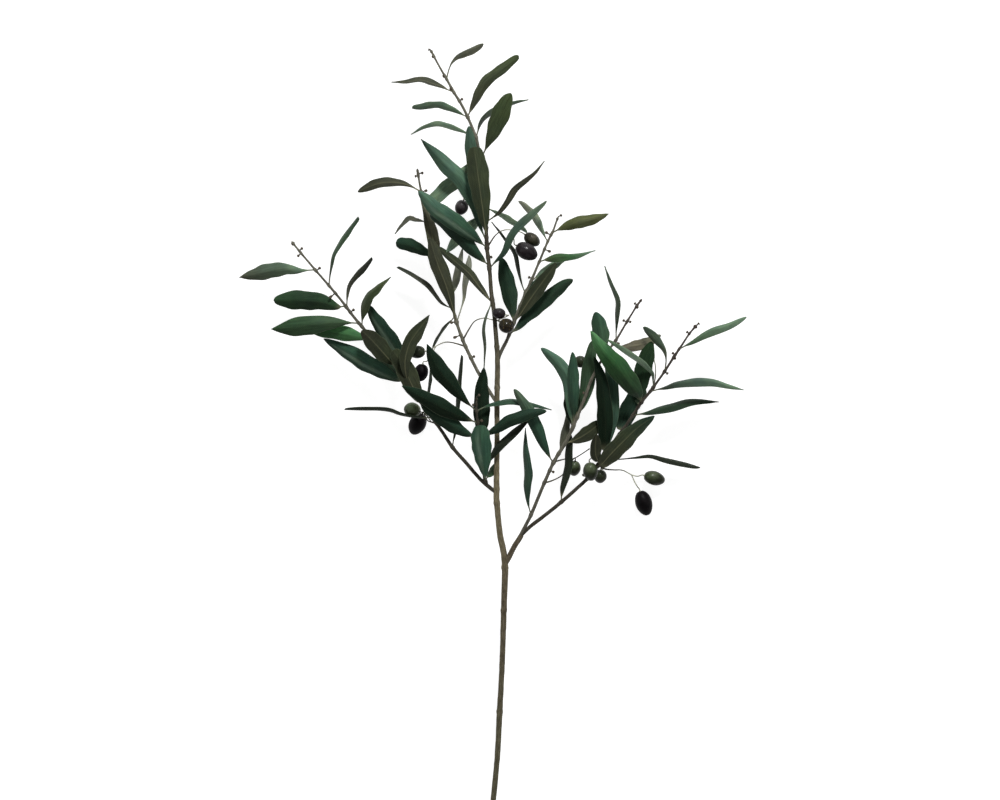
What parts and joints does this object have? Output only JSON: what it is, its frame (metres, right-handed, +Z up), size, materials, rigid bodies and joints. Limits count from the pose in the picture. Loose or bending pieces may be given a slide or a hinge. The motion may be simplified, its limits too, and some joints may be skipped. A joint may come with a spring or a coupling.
{
  "type": "olive branch with fruit",
  "caption": "Cut olive branch lying down: one straight stem forking into leafy side shoots with narrow leaves, slender fruit stalks and hanging ripe olives.",
  "frame": {"origin": "middle of the small flat under the cut end of the stem, on the surface the branch lies on", "axes": "+Z up from the surface, +Y along the branch from the cut end to the leafy tip, +X to the right across the branch seen from above with the tip upwards"},
  "size_m": [0.509, 0.8419, 0.0739],
  "materials": {
    "stem_bark": "matte",
    "leafy_shoot": "satin",
    "ripe_olive": "gloss",
    "green_olive": "gloss"
  },
  "bodies": {
    "root": {"main_stem": "stem_bark", "leader": "leafy_shoot", "left_inner_shoot": "leafy_shoot", "right_small_shoot": "leafy_shoot", "left_shoot": "leafy_shoot", "left_short_shoot": "leafy_shoot", "right_outer_shoot": "leafy_shoot", "right_inner_shoot": "leafy_shoot", "olive_01": "ripe_olive", "olive_02": "green_olive", "olive_03": "ripe_olive", "olive_04": "ripe_olive", "olive_05": "ripe_olive", "olive_06": "ripe_olive", "olive_07": "ripe_olive", "olive_08": "green_olive", "olive_09": "ripe_olive", "olive_10": "green_olive", "olive_11": "green_olive", "olive_12": "green_olive", "olive_13": "green_olive", "olive_14": "green_olive", "olive_15": "ripe_olive"}
  },
  "joints": []
}
